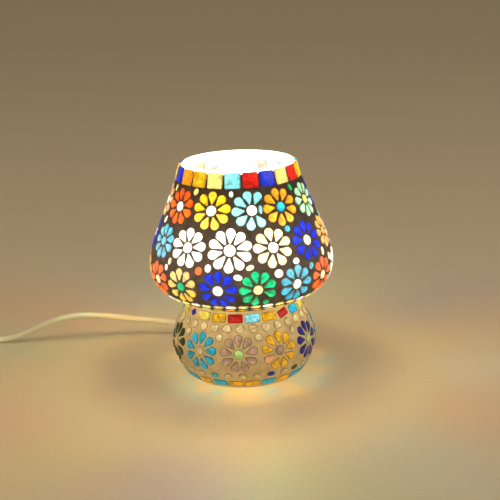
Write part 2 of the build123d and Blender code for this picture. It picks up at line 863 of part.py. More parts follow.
board_radius = globe_mouth_radius - 2 * globe_wall
with BuildPart() as bulb_board:
    with BuildSketch(Plane.XY.offset(housing_top)):
        Circle(board_radius)
    extrude(amount=board_thickness)
bulb_board.part.label = "bulb_board"
export_step(bulb_board.part, "parts/bulb_board.step")

with BuildPart() as bulb_leds:
    with BuildSketch(Plane.XY.offset(housing_top + board_thickness)):
        with PolarLocations(board_radius - led_side, led_count):
            Rectangle(led_side, led_side)
    extrude(amount=led_height)
bulb_leds.part.label = "bulb_leds"
export_step(bulb_leds.part, "parts/bulb_leds.step")


# ---------------------------------------------------------------- cord
with BuildPart() as strain_relief:
    with BuildSketch(along_exit(exit_radius - 2 * glass_wall)):
        Circle(relief_root_radius)
    with BuildSketch(along_exit(relief_end)):
        Circle(relief_tip_radius)
    loft()
    add(bed_blank.part, mode=Mode.SUBTRACT)
    with BuildSketch(along_exit(wall_inside)):
        Circle(relief_hole_radius)
    extrude(amount=wall_outside - wall_inside)
strain_relief.part.label = "strain_relief"
export_step(strain_relief.part, "parts/strain_relief.step")


def rounded_route(points):
    """The corner radii of a cord's route: each takes less than half of its shorter run."""
    radii = []
    for before, corner, after in zip(points, points[1:], points[2:]):
        first = Vector(*corner) - Vector(*before)
        second = Vector(*after) - Vector(*corner)
        half_turn = math.radians(first.get_angle(second)) / 2
        radii.append(0.45 * min(first.length, second.length) / math.tan(half_turn))
    return radii


def cord_volume_check(name, part, route, diameter):
    """Compares the solid with its section times its length."""
    length = sum(edge.length for edge in route.edges())
    expected = length * math.pi * diameter**2 / 4
    print(name, "length", round(length, 1), "volume share", round(part.volume / expected, 4))


relief_tip = exit_direction * relief_end + Vector(0, 0, exit_height)
cord_route = [
    (relief_tip.X, relief_tip.Y, relief_tip.Z),
    (-50.8, 72.6, 13.0),
    (-65.5, 79.4, 12.6),
    (-99.0, 78.0, 18.2),
    (-146.0, 59.0, 31.0),
    (-193.0, 78.0, 4.2),
    (-216.0, cord_line_y, 2.6),
    (-235.0, cord_line_y, switch_seam),
    (switch_near_end, cord_line_y, switch_seam),
]
with BuildPart() as cord_tube:
    with BuildLine() as cord_path:
        FilletPolyline(*cord_route, radius=rounded_route(cord_route))
    with BuildSketch(Plane(origin=cord_path.line @ 0, z_dir=cord_path.line % 0)):
        Circle(cord_diameter / 2)
    sweep()
cord_tube.part.label = "cord_tube"
export_step(cord_tube.part, "parts/cord_tube.step")
print("cord bends", [round(r) for r in rounded_route(cord_route)])
cord_volume_check("cord_tube", cord_tube.part, cord_path.line, cord_diameter)

coil_outer_turn_radius = coil_inner_turn_radius + coil_turns_per_layer * cord_diameter
coil_centre_y = cord_line_y - coil_outer_turn_radius
switch_far_end = switch_near_end - switch_length
floor_cord_height = cord_diameter / 2
link_route = [
    (switch_far_end, cord_line_y, switch_seam),
    (-307.0, cord_line_y, switch_seam),
    (-325.0, cord_line_y, 2.6),
    (coil_centre_x, cord_line_y, floor_cord_height),
]
with BuildPart() as cord_link:
    with BuildLine() as link_path:
        FilletPolyline(*link_route, radius=rounded_route(link_route))
    with BuildSketch(Plane(origin=link_path.line @ 0, z_dir=link_path.line % 0)):
        Circle(cord_diameter / 2)
    sweep()
cord_link.part.label = "cord_link"
export_step(cord_link.part, "parts/cord_link.step")
print("link bends", [round(r) for r in rounded_route(link_route)])
cord_volume_check("cord_link", cord_link.part, link_path.line, cord_diameter)

with BuildPart() as cord_coil:
    with BuildSketch():
        with Locations((coil_centre_x, coil_centre_y)):
            Circle(coil_outer_turn_radius + cord_diameter / 2)
            Circle(coil_inner_turn_radius - cord_diameter / 2, mode=Mode.SUBTRACT)
    extrude(amount=2 * cord_diameter)
cord_coil.part.label = "cord_coil"
export_step(cord_coil.part, "parts/cord_coil.step")

tail_x = coil_centre_x - coil_outer_turn_radius + cord_diameter / 4
tail_height = 1.5 * cord_diameter
plug_back = coil_centre_y - coil_tail_length
with BuildPart() as cord_tail:
    with BuildLine() as tail_path:
        Line((tail_x, coil_centre_y, tail_height), (tail_x, plug_back, plug_thickness / 2))
    with BuildSketch(Plane(origin=tail_path.line @ 0, z_dir=tail_path.line % 0)):
        Circle(cord_diameter / 2)
    sweep()
cord_tail.part.label = "cord_tail"
export_step(cord_tail.part, "parts/cord_tail.step")

lead_start = exit_direction * wall_inside + Vector(0, 0, exit_height)
lead_turn = lead_start - exit_direction * lead_hole_run
lead_route = [
    (lead_start.X, lead_start.Y, lead_start.Z),
    (lead_turn.X, lead_turn.Y, lead_turn.Z),
    (exit_direction.X * 22.0, exit_direction.Y * 22.0, 9.0),
    (exit_direction.X * 5.0, exit_direction.Y * 5.0, 13.0),
    (0, 0, nipple_bottom - 1.0),
    (0, 0, nipple_top),
]
with BuildPart() as cord_lead:
    with BuildLine() as lead_path:
        FilletPolyline(*lead_route, radius=rounded_route(lead_route))
    with BuildSketch(Plane(origin=lead_path.line @ 0, z_dir=lead_path.line % 0)):
        Circle(lead_diameter / 2)
    sweep()
cord_lead.part.label = "cord_lead"
export_step(cord_lead.part, "parts/cord_lead.step")
print("lead bends", [round(r) for r in rounded_route(lead_route)])
cord_volume_check("cord_lead", cord_lead.part, lead_path.line, lead_diameter)


# ---------------------------------------------------------------- in-line switch
switch_x = (switch_near_end + switch_far_end) / 2
pivot = Vector(switch_x, cord_line_y, rocker_pivot_height)
screw_x = switch_length / 2 - screw_from_end

with BuildPart() as switch_base:
    with BuildSketch():
        with Locations((switch_x, cord_line_y)):
            RectangleRounded(switch_length, switch_width, switch_corner)
    extrude(amount=switch_seam)
    with BuildSketch():
        with Locations((switch_x - screw_x, cord_line_y), (switch_x + screw_x, cord_line_y)):
            Circle(screw_radius)
    extrude(amount=switch_seam, mode=Mode.SUBTRACT)
    with BuildSketch():
        with Locations((switch_x - screw_x, cord_line_y), (switch_x + screw_x, cord_line_y)):
            Circle(screw_head_radius)
    extrude(amount=screw_recess + screw_head_height, mode=Mode.SUBTRACT)
switch_base.part.label = "switch_base"
export_step(switch_base.part, "parts/switch_base.step")

slot_length = rocker_length + 2 * slot_end_clearance
slot_width = rocker_width + 2 * moving_gap
with BuildPart() as switch_cover:
    with BuildSketch(Plane.XY.offset(switch_seam)):
        with Locations((switch_x, cord_line_y)):
            RectangleRounded(switch_length, switch_width, switch_corner)
    extrude(amount=switch_height - switch_seam)
    fillet(switch_cover.faces().sort_by(Axis.Z)[-1].edges(), switch_edge)
    with BuildSketch(Plane.XY.offset(switch_seam)):
        with Locations((switch_x, cord_line_y)):
            Rectangle(switch_pocket_length, switch_width - 2 * switch_corner)
    extrude(amount=switch_pocket_height, mode=Mode.SUBTRACT)
    with BuildSketch(Plane.XY.offset(switch_seam)):
        with Locations((switch_x, cord_line_y)):
            Rectangle(slot_length, slot_width)
    extrude(amount=switch_height, mode=Mode.SUBTRACT)
    with BuildSketch(Plane.XZ.offset(-cord_line_y)):
        with Locations((switch_x, rocker_pivot_height)):
            Circle(trunnion_radius + trunnion_clearance)
    extrude(
        amount=rocker_width / 2 + trunnion_length + moving_gap,
        both=True,
        mode=Mode.SUBTRACT,
    )
    with BuildSketch(Plane.XY.offset(switch_seam)):
        with Locations((switch_x - screw_x, cord_line_y), (switch_x + screw_x, cord_line_y)):
            Circle(screw_radius)
    extrude(amount=screw_length - switch_seam, mode=Mode.SUBTRACT)
switch_cover.part.label = "switch_cover"
export_step(switch_cover.part, "parts/switch_cover.step")

rocker_plane = Plane(
    origin=pivot,
    x_dir=Vector(math.cos(math.radians(rocker_tilt)), 0, math.sin(math.radians(rocker_tilt))),
    z_dir=Vector(0, -1, 0),
)
with BuildPart() as switch_rocker:
    with BuildSketch(rocker_plane):
        with BuildLine():
            Polyline(
                (-rocker_length / 2, -rocker_drop),
                (rocker_length / 2, -rocker_drop),
                (rocker_length / 2, rocker_rise),
                (0, rocker_rise - rocker_dip),
                (-rocker_length / 2, rocker_rise),
                close=True,
            )
        make_face()
    extrude(amount=rocker_width / 2, both=True)
    with BuildSketch(rocker_plane):
        Circle(trunnion_radius)
    extrude(amount=rocker_width / 2 + trunnion_length, both=True)
switch_rocker.part.label = "switch_rocker"
export_step(switch_rocker.part, "parts/switch_rocker.step")

with BuildPart() as switch_contacts:
    with BuildSketch(Plane.XY.offset(switch_seam)):
        for side in (-1, 1):
            with Locations((switch_x + side * contact_offset, cord_line_y)):
                Rectangle(contact_length, contact_width)
    extrude(amount=contact_thickness)
switch_contacts.part.label = "switch_contacts"
export_step(switch_contacts.part, "parts/switch_contacts.step")

with BuildPart() as switch_screws:
    with BuildSketch(Plane.XY.offset(screw_recess)):
        with Locations((switch_x - screw_x, cord_line_y), (switch_x + screw_x, cord_line_y)):
            Circle(screw_head_radius)
    extrude(amount=screw_head_height)
    with BuildSketch(Plane.XY.offset(screw_recess)):
        with Locations((switch_x - screw_x, cord_line_y), (switch_x + screw_x, cord_line_y)):
            Circle(screw_radius)
    extrude(amount=screw_length - screw_recess - screw_end_gap)
switch_screws.part.label = "switch_screws"
export_step(switch_screws.part, "parts/switch_screws.step")


# ---------------------------------------------------------------- plug
plug_plane = Plane(origin=(tail_x, plug_back, 0), x_dir=(0, -1, 0), z_dir=(0, 0, 1))
with BuildPart() as plug_body:
    with BuildSketch(plug_plane) as plug_plan:
        with BuildLine():
            Polyline(
                (0, -plug_back_width / 2),
                (plug_neck_length, -plug_back_width / 2),
                (plug_length - plug_nose_length, -plug_nose_width / 2),
                (plug_length, -plug_nose_width / 2),
                (plug_length, plug_nose_width / 2),
                (plug_length - plug_nose_length, plug_nose_width / 2),
                (plug_neck_length, plug_back_width / 2),
                (0, plug_back_width / 2),
                close=True,
            )
        make_face()
        fillet(plug_plan.vertices(), plug_corner)
    extrude(amount=plug_thickness)
    fillet(plug_body.faces().sort_by(Axis.Z)[-1].edges(), plug_edge)
plug_body.part.label = "plug_body"
export_step(plug_body.part, "parts/plug_body.step")

pin_plane = Plane(
    origin=(tail_x, plug_back - plug_length, plug_thickness / 2),
    x_dir=(1, 0, 0),
    z_dir=(0, -1, 0),
)
with BuildPart() as plug_pins:
    with BuildSketch(pin_plane):
        with Locations((-pin_spacing / 2, 0), (pin_spacing / 2, 0)):
            Circle(pin_radius)
    extrude(amount=pin_length)
plug_pins.part.label = "plug_pins"
export_step(plug_pins.part, "parts/plug_pins.step")
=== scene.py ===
# %% [markdown]
# # A small mosaic table lamp, lit from inside
# The lamp is one blown glass vessel: a foot, a belly, a narrow waist and a wide shade. Hundreds
# of small pieces of coloured glass are glued to it, and grout fills the joints between them.
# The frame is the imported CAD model: every piece made here takes its place from that frame and
# rides on one of its bodies, so that the bulb can still unscrew and the switch can still rock.

# %% Load the frame
import math
import random

import bmesh
import bpy
from mathutils import Matrix, Vector


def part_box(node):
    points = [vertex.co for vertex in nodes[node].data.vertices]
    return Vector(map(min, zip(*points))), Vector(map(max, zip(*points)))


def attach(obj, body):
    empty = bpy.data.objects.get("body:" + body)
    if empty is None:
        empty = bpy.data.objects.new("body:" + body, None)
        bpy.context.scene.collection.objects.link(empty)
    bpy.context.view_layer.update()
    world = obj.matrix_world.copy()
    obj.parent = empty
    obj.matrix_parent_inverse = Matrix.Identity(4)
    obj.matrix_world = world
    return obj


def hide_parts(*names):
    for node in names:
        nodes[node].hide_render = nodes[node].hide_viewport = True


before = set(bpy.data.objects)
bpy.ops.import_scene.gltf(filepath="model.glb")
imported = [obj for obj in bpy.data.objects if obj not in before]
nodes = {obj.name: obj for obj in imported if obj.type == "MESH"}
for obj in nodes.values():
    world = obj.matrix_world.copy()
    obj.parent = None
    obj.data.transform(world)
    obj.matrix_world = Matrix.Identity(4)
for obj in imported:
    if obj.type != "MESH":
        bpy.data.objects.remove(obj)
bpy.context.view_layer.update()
MM = 0.001

# %% [markdown]
# ## The camera
# The lamp is seen from a little above, from far enough away that the shade's rim is a thin
# ellipse. A camera is a matrix: its own -Z looks at the target and its own Y points up. A small
# roll tilts the picture, and a small shift places the lamp in it without turning the camera.

# %% Camera
CAMERA_TARGET = Vector((0.0, 0.0, 0.084))
CAMERA_DISTANCE = 0.85
CAMERA_DOWN = math.radians(16.408)
CAMERA_ROLL = math.radians(-2.214)
CAMERA_LENS = 79.62
CAMERA_SHIFT = (0.0168, 0.0303)
SENSOR_WIDTH = 36.0

looking = Vector((0.0, math.cos(CAMERA_DOWN), -math.sin(CAMERA_DOWN)))
camera_data = bpy.data.cameras.new("camera")
camera_data.sensor_width = SENSOR_WIDTH
camera_data.lens = CAMERA_LENS
camera_data.shift_x, camera_data.shift_y = CAMERA_SHIFT
camera = bpy.data.objects.new("camera", camera_data)
bpy.context.scene.collection.objects.link(camera)
turn = looking.to_track_quat("-Z", "Y").to_matrix().to_4x4()
roll = Matrix.Rotation(CAMERA_ROLL, 4, "Z")
camera.matrix_world = Matrix.Translation(CAMERA_TARGET - looking * CAMERA_DISTANCE) @ turn @ roll
bpy.context.scene.camera = camera
bpy.context.scene.view_settings.view_transform = "Standard"
print("camera at", [round(x, 4) for x in camera.matrix_world.translation])

# %% [markdown]
# ## Node trees
# A material is a small program of nodes. One helper adds a node of any kind: it sets the node's
# fields, and fills each input with a value or with another node's output. Asked for one of the
# node's outputs, it gives that, ready to be the next node's input. A second helper turns the hex
# colours people write into the linear values that light is computed with.


# %% Helpers for colours and nodes
def linear(hex_colour):
    """An sRGB hex colour as linear red, green, blue and alpha."""
    channels = [int(hex_colour[i : i + 2], 16) / 255 for i in (1, 3, 5)]
    return [c / 12.92 if c <= 0.04045 else ((c + 0.055) / 1.055) ** 2.4 for c in channels] + [1.0]


def scaled(colour, share, lift=0.0):
    """A linear colour times share, plus lift, no brighter than full."""
    return [min(1.0, c * share + lift) for c in colour[:3]] + [1.0]


def add_node(tree, kind, inputs=None, give=None, **fields):
    """Adds a node of that kind, and gives it, or the output called give.

    An input takes a value, or another node's output.
    """
    node = tree.nodes.new(kind)
    for name, value in fields.items():
        setattr(node, name, value)
    for name, value in (inputs or {}).items():
        if isinstance(value, bpy.types.NodeSocket):
            tree.links.new(value, node.inputs[name])
        else:
            node.inputs[name].default_value = value
    return node if give is None else node.outputs[give]


# The kinds of node that these materials use.
PLACE = "ShaderNodeTexCoord"
AXES = "ShaderNodeSeparateXYZ"
LAYER = "ShaderNodeAttribute"
NOISE = "ShaderNodeTexNoise"
RANGE = "ShaderNodeMapRange"
MATH = "ShaderNodeMath"
VECTOR_MATH = "ShaderNodeVectorMath"
COLOURS = "ShaderNodeMix"
BUMP = "ShaderNodeBump"
SURFACE = "ShaderNodeBsdfPrincipled"
CLEAR = "ShaderNodeBsdfTransparent"
RAY = "ShaderNodeLightPath"
EITHER = "ShaderNodeMixShader"
OUTPUT = "ShaderNodeOutputMaterial"
# A Mix node's sockets have one name for each type, so colours go in and out by number.
SHARE, FIRST, SECOND, MIXED = 0, 6, 7, 2


def new_material(name):
    """An empty node material, its tree, and the place of its surface's points, in metres."""
    material = bpy.data.materials.new(name)
    material.use_nodes = True
    tree = material.node_tree
    tree.nodes.clear()
    return material, tree, add_node(tree, PLACE, give="Object")


# %% [markdown]
# ## The mains lead
# The lead leaves the back of the base through a tapered strain relief, sags to the table, humps
# once, and runs to an in-line switch. What is left over is wound into a neat two-layer coil, as
# for storage, and ends in a two-pin plug. A NURBS curve of order 3 stays smooth between its
# control points, so the few points of the route are enough.

# %% Points of the lead
LEAD_DIAMETER = 5.0 * MM
COIL_CENTRE = (-0.349, 0.03975)
OUTER_TURN = 38.75 * MM
INNER_TURN = 21.25 * MM
TURNS_IN = 3.5
TURNS_ACROSS = 0.5
TURNS_OUT = 3.25
POINTS_PER_TURN = 16
# The turn that climbs to the upper layer is tucked in a little, clear of the turn beside it.
TUCK = 1.0 * MM
PLUG_BACK = (-0.3865, -0.00425, 0.0070)

lead_route = [
    (-0.04101, 0.05857, 0.0130),
    (-0.0508, 0.0726, 0.0130),
    (-0.0655, 0.0794, 0.0126),
    (-0.0990, 0.0780, 0.0182),
    (-0.1460, 0.0590, 0.0310),
    (-0.1930, 0.0780, 0.0042),
    (-0.2160, 0.0785, 0.0021),
    (-0.2350, 0.0785, 0.0055),
    (-0.3070, 0.0785, 0.0055),
    (-0.3250, 0.0785, 0.0023),
]


def coil_point(angle, radius, height):
    """A point of the coil, its angle in turns from the coil's own +X."""
    around = 2 * math.pi * angle
    x, y = COIL_CENTRE
    return (x + radius * math.cos(around), y + radius * math.sin(around), height)


def wind(start, turns, radius, pitch, low, high, tuck=0.0):
    """More points of the route: turns of the coil that grow by pitch a turn, from low to high."""
    steps = int(abs(turns) * POINTS_PER_TURN)
    for step in range(steps + 1):
        share = step / steps
        out = radius + pitch * turns * share - tuck * math.sin(math.pi * share)
        lead_route.append(coil_point(start + turns * share, out, low + (high - low) * share))


# In along the lower layer, across and up, and out along the upper layer. Each stretch starts
# where the last one ended, so that shared point is taken off first.
lower, upper = LEAD_DIAMETER / 2, 1.5 * LEAD_DIAMETER
wind(0.25, TURNS_IN, OUTER_TURN, -LEAD_DIAMETER, lower, lower)
lead_route.pop()
wind(0.75, TURNS_ACROSS, INNER_TURN, 0.0, lower, upper, tuck=TUCK)
lead_route.pop()
wind(0.25, TURNS_OUT, INNER_TURN, LEAD_DIAMETER, upper, upper)
lead_route.append(PLUG_BACK)
print("lead has", len(lead_route), "points")

# %% [markdown]
# The curve's bevel is one metre, times each point's own radius. That gives the lead its thickness
# and keeps the curve's box, which counts the points' radii, as small as the lead itself.

# %% The lead's curve
lead_curve = bpy.data.curves.new("mains_lead", "CURVE")
lead_curve.dimensions = "3D"
lead_curve.resolution_u = 6
lead_curve.bevel_depth = 1.0
lead_curve.bevel_resolution = 4
lead_curve.use_fill_caps = True
spline = lead_curve.splines.new("NURBS")
spline.points.add(len(lead_route) - 1)
for point, place in zip(spline.points, lead_route):
    point.co = (*place, 1.0)
    point.radius = LEAD_DIAMETER / 2
spline.order_u = 3
spline.use_endpoint_u = True
mains_lead = bpy.data.objects.new("mains_lead", lead_curve)
bpy.context.scene.collection.objects.link(mains_lead)
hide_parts("cord_tube", "cord_link", "cord_coil", "cord_tail")
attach(mains_lead, "lamp")
print("spline length", round(spline.calc_length(), 4))

# %% [markdown]
# ## The table and the studio light
# The lamp stands on a plain pale surface in a dim studio: one large soft light above and to the
# left, a weak one from the right, and a little light from everywhere. The room is kept dim
# because the lamp is its own light, and its colours would be washed out otherwise.

# %% Floor
FLOOR_HALF = 8.0
floor_bm = bmesh.new()
bmesh.ops.create_grid(floor_bm, x_segments=1, y_segments=1, size=FLOOR_HALF)
floor_mesh = bpy.data.meshes.new("floor")
floor_bm.to_mesh(floor_mesh)
floor_bm.free()
floor = bpy.data.objects.new("floor", floor_mesh)
bpy.context.scene.collection.objects.link(floor)

# %% Matt painted board
# The roller leaves a soft stipple about 3 mm across, far too shallow to cast a shadow.
paint, tree, place = new_material("matt painted board")
stipple = add_node(tree, NOISE, {"Vector": place, "Scale": 1 / (3 * MM), "Detail": 3.0}, "Fac")
share = add_node(tree, RANGE, {"Value": stipple, "From Min": 0.35, "From Max": 0.65}, "Result")
two_tones = {SHARE: share, FIRST: linear("#D8CFBF"), SECOND: linear("#DDD5C6")}
colour = add_node(tree, COLOURS, two_tones, MIXED, data_type="RGBA")
normal = add_node(tree, BUMP, {"Height": stipple, "Distance": 0.05 * MM}, "Normal")
surface = {"Base Color": colour, "Roughness": 0.55, "Normal": normal}
add_node(tree, OUTPUT, {"Surface": add_node(tree, SURFACE, surface, "BSDF")})
floor_mesh.materials.append(paint)
print("floor", 2 * FLOOR_HALF, "m across")


# %% Soft lights
def soft_light(name, place, aim, size, power, colour):
    """A square area light at that place, facing aim."""
    data = bpy.data.lights.new(name, "AREA")
    data.size = size
    data.energy = power
    data.color = linear(colour)[:3]
    light = bpy.data.objects.new(name, data)
    bpy.context.scene.collection.objects.link(light)
    light.location = place
    light.rotation_euler = (Vector(aim) - Vector(place)).to_track_quat("-Z", "Y").to_euler()
    return light


soft_light("key_light", (-1.1, -1.2, 1.7), (0, 0, 0.05), 1.4, 15.0, "#FFE2B8")
soft_light("fill_light", (1.6, -0.6, 1.1), (0, 0, 0.05), 1.2, 7.0, "#FFE8CC")
world = bpy.data.worlds.new("studio")
world.use_nodes = True
world.node_tree.nodes["Background"].inputs["Color"].default_value = linear("#DCC8A4")
world.node_tree.nodes["Background"].inputs["Strength"].default_value = 0.36
bpy.context.scene.world = world
print("two soft lights and a dim world")

# %% [markdown]
# The bulb is a point light as wide as its globe, which rides on the bulb. Light also falls through
# the waist into the base and leaves it through the coloured glass: a second, very small light
# there throws the coloured patches round the foot.

# %% Lights in the lamp
BULB_CENTRE = (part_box("bulb_globe")[0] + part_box("bulb_globe")[1]) / 2
BULB_CENTRE.z = 104 * MM
GLOBE_RADIUS = 22.5 * MM
BASE_GLOW_PLACE = Vector((0.0, 0.0, 31 * MM))


def lamp_light(name, place, size, power, colour):
    """A round light inside the lamp."""
    data = bpy.data.lights.new(name, "POINT")
    data.energy = power
    data.shadow_soft_size = size
    data.color = linear(colour)[:3]
    light = bpy.data.objects.new(name, data)
    bpy.context.scene.collection.objects.link(light)
    light.location = place
    return light


bulb_light = lamp_light("bulb_light", BULB_CENTRE, GLOBE_RADIUS, 2.8, "#FFF3DC")
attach(bulb_light, "bulb")
base_light = lamp_light("base_light", BASE_GLOW_PLACE, 4 * MM, 2.6, "#FFE9C4")
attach(base_light, "lamp")
print("bulb light at", [round(x, 4) for x in BULB_CENTRE])

# %% [markdown]
# ## The cut glass pieces
# Each piece is cut from a sheet of rolled art glass about two millimetres thick. Its edges are
# nibbled and tumbled, so they are slightly round, and its face is a little domed. The CAD has
# each piece as a flat slab in the right place. A copy of that slab is cleaned up, its face's edge
# is bevelled, and the face is inset and lifted, which gives the dome with few faces. There are
# hundreds of pieces, so each keeps only a few dozen faces.

# %% Sizes of the glass pieces
MERGE = 0.001 * MM
SIMPLER = math.radians(13)
EDGE_ROUND = 0.35 * MM
DOME_INSET = 0.32 * MM
DOME_RISE = 0.18 * MM
POCKET_DEPTH = 1.4 * MM
GLASS_SHARP = math.radians(50)
# How dark the ground edge of a piece is, and the painted shade on its dome's slope, from 0 to 1.
EDGE_DARK = 1.0
SLOPE_SHADE = 0.6
BASE_MIDDLE = Vector((0.0, 0.0, 28 * MM))
MIDDLE = {"shade": BULB_CENTRE, "base": BASE_MIDDLE}
dice = random.Random(7)
glass_nodes = sorted(n for n in nodes if n.startswith("tiles_"))
print(len(glass_nodes), "colours of glass")


# %% Helpers for meshes
def merged_copy(node):
    """The node's mesh as closed solids: a CAD mesh is loose triangles."""
    bm = bmesh.new()
    bm.from_mesh(nodes[node].data)
    bmesh.ops.remove_doubles(bm, verts=bm.verts, dist=MERGE)
    return bm


def islands(bm):
    """The connected groups of faces."""
    left = set(bm.faces)
    groups = []
    while left:
        waiting = [left.pop()]
        group = []
        while waiting:
            face = waiting.pop()
            group.append(face)
            for edge in face.edges:
                for other in edge.link_faces:
                    if other in left:
                        left.discard(other)
                        waiting.append(other)
        groups.append(group)
    return groups


def caps(group, middle):
    """The front and the back face of one glass piece: its two largest faces."""
    flats = sorted(group, key=lambda face: face.calc_area())[-2:]
    outward = [face.normal.dot(face.calc_center_median() - middle) for face in flats]
    return (flats[0], flats[1]) if outward[0] > outward[1] else (flats[1], flats[0])


def object_from(bm, name):
    """A mesh object made from a bmesh, at the origin."""
    mesh = bpy.data.meshes.new(name)
    bm.to_mesh(mesh)
    bm.free()
    made = bpy.data.objects.new(name, mesh)
    bpy.context.scene.collection.objects.link(made)
    return made


# %% [markdown]
# Each piece gets a number of its own, its tint, and each face a darkness, its rim: the ground
# edge's own dark, and painted shade on the dome's slope. Both are stored on the faces as
# attributes, where the glass material reads them.


# %% Shape the glass pieces
def shape_glass(node, middle):
    """The finished pieces of one glass."""
    bm = merged_copy(node)
    bmesh.ops.dissolve_limit(bm, angle_limit=SIMPLER, verts=bm.verts, edges=bm.edges)
    tint = bm.faces.layers.float.new("tint")
    rim = bm.faces.layers.float.new("rim")
    fronts = []
    for group in islands(bm):
        value = dice.random()
        for face in group:
            face[tint] = value
        front, _ = caps(group, middle)
        bmesh.ops.translate(bm, verts=front.verts, vec=-front.normal * DOME_RISE)
        fronts.append(front)
    rounded = bmesh.ops.bevel(
        bm,
        geom=list({edge for face in fronts for edge in face.edges}),
        offset=EDGE_ROUND,
        affect="EDGES",
        segments=1,
        profile=0.5,
        material=-1,
        clamp_overlap=True,
    )
    for face in rounded["faces"]:
        face[rim] = EDGE_DARK
    fronts = [caps(group, middle)[0] for group in islands(bm)]
    for face in fronts:
        face[rim] = 0.0
    # The dome's sloping ring is marked for painted shade.
    slopes = bmesh.ops.inset_individual(
        bm, faces=fronts, thickness=DOME_INSET, depth=DOME_RISE, use_even_offset=False
    )
    for face in slopes["faces"]:
        face[rim] = SLOPE_SHADE
    return bm


def pocket_plugs(node, middle):
    """One glass's pieces made longer at front and back, to cut their pockets with."""
    bm = merged_copy(node)
    bmesh.ops.dissolve_limit(bm, angle_limit=SIMPLER, verts=bm.verts, edges=bm.edges)
    for group in islands(bm):
        for cap in caps(group, middle)[::-1]:
            bmesh.ops.translate(bm, verts=cap.verts, vec=cap.normal * POCKET_DEPTH)
    plugs_mesh = bpy.data.meshes.new("plugs")
    bm.to_mesh(plugs_mesh)
    bm.free()
    return plugs_mesh


glass_pieces = {}
plugs = {"shade": bmesh.new(), "base": bmesh.new()}
for node in glass_nodes:
    region = node.split("_")[1]
    piece = object_from(shape_glass(node, MIDDLE[region]), node.replace("tiles", "glass"))
    piece.data.set_sharp_from_angle(angle=GLASS_SHARP)
    plugs_mesh = pocket_plugs(node, MIDDLE[region])
    plugs[region].from_mesh(plugs_mesh)
    bpy.data.meshes.remove(plugs_mesh)
    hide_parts(node)
    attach(piece, "lamp")
    glass_pieces[node] = piece
glass_faces = sum(len(piece.data.polygons) for piece in glass_pieces.values())
print(len(glass_pieces), "glasses,", glass_faces, "faces")

# %% [markdown]
# ## The grout
# Grout is pressed into the joints and wiped flush, just below the faces of the glass. It starts
# as the section of the CAD's thin bed, spun round the lamp's axis and thickened outward. The
# glass pieces then cut their own pockets out of it with a boolean, so light reaches each of them.

# %% Spin the grout
GROUT_THICKNESS = 2.0 * MM
GROUT_TOP = 164.7 * MM
GROUT_SHARP = math.radians(40)
SPIN_STEPS = 144
SECTION_STEP = 0.8 * MM


def bed_section(node, middle):
    """The outline points of the CAD bed's side towards the glass, lowest first, at +X."""
    bm = merged_copy(node)
    outer = [f for f in bm.faces if f.normal.dot(f.calc_center_median() - middle) > 0]
    bmesh.ops.delete(bm, geom=outer, context="FACES")
    everything = bm.verts[:] + bm.edges[:] + bm.faces[:]
    cut = bmesh.ops.bisect_plane(
        bm, geom=everything, plane_co=(0, 0, 0), plane_no=(0, 1, 0), dist=MERGE / 10
    )["geom_cut"]
    places = [v.co.copy() for v in cut if isinstance(v, bmesh.types.BMVert) and v.co.x > 0]
    bm.free()
    inner = {}
    for place in places:
        level = round(place.z / SECTION_STEP)
        if level not in inner or place.x < inner[level].x:
            inner[level] = place
    return [inner[level] for level in sorted(inner) if inner[level].z < GROUT_TOP]


def leans_out(face):
    """How much a face points away from the lamp's axis."""
    centre = face.calc_center_median()
    return face.normal.x * centre.x + face.normal.y * centre.y


def grout_shell(region):
    """The region's grout before its pockets: the bed's section spun round and thickened."""
    node = f"{region}_grout"
    low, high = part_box(node)
    bm = bmesh.new()
    line = [bm.verts.new(place) for place in bed_section(node, MIDDLE[region])]
    edges = [bm.edges.new(pair) for pair in zip(line, line[1:])]
    bmesh.ops.spin(
        bm,
        geom=line + edges,
        cent=(0, 0, 0),
        axis=(0, 0, 1),
        angle=2 * math.pi,
        steps=SPIN_STEPS,
        use_merge=True,
    )
    bmesh.ops.remove_doubles(bm, verts=bm.verts, dist=MERGE)
    bmesh.ops.recalc_face_normals(bm, faces=bm.faces)
    if sum(leans_out(face) for face in bm.faces) < 0:
        bmesh.ops.reverse_faces(bm, faces=bm.faces)
    bmesh.ops.solidify(bm, geom=bm.faces, thickness=-GROUT_THICKNESS)
    for vertex in bm.verts:
        vertex.co.z = min(max(vertex.co.z, low.z), high.z)
    return object_from(bm, f"{region}_joints")


shells = {region: grout_shell(region) for region in plugs}
for region, shell in shells.items():
    print(region, "grout", len(shell.data.polygons), "faces")

# %% [markdown]
# The plugs of one region don't touch, so all its pockets are cut in one go. The cut mesh has to be
# closed: an open edge would let light leak round a piece.


# %% Cut the pockets
def cut_pockets(shell, cutter):
    """Cuts the cutter's pieces out of the shell and keeps the result as the shell's own mesh."""
    boolean = shell.modifiers.new("pockets", "BOOLEAN")
    boolean.operation = "DIFFERENCE"
    boolean.solver = "MANIFOLD"
    boolean.object = cutter
    bpy.context.view_layer.update()
    graph = bpy.context.evaluated_depsgraph_get()
    cut_mesh = bpy.data.meshes.new_from_object(shell.evaluated_get(graph))
    shell.modifiers.clear()
    shell.data = cut_mesh
    bpy.data.objects.remove(cutter)


def open_edges(mesh):
    """How many edges don't have two faces."""
    bm = bmesh.new()
    bm.from_mesh(mesh)
    count = sum(1 for edge in bm.edges if len(edge.link_faces) != 2)
    bm.free()
    return count


for region, shell in shells.items():
    cut_pockets(shell, object_from(plugs[region], f"cutter_{region}"))
    shell.data.set_sharp_from_angle(angle=GROUT_SHARP)
    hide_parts(f"{region}_grout")
    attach(shell, "lamp")
    print(region, "grout", len(shell.data.polygons), "faces,", open_edges(shell.data), "open")
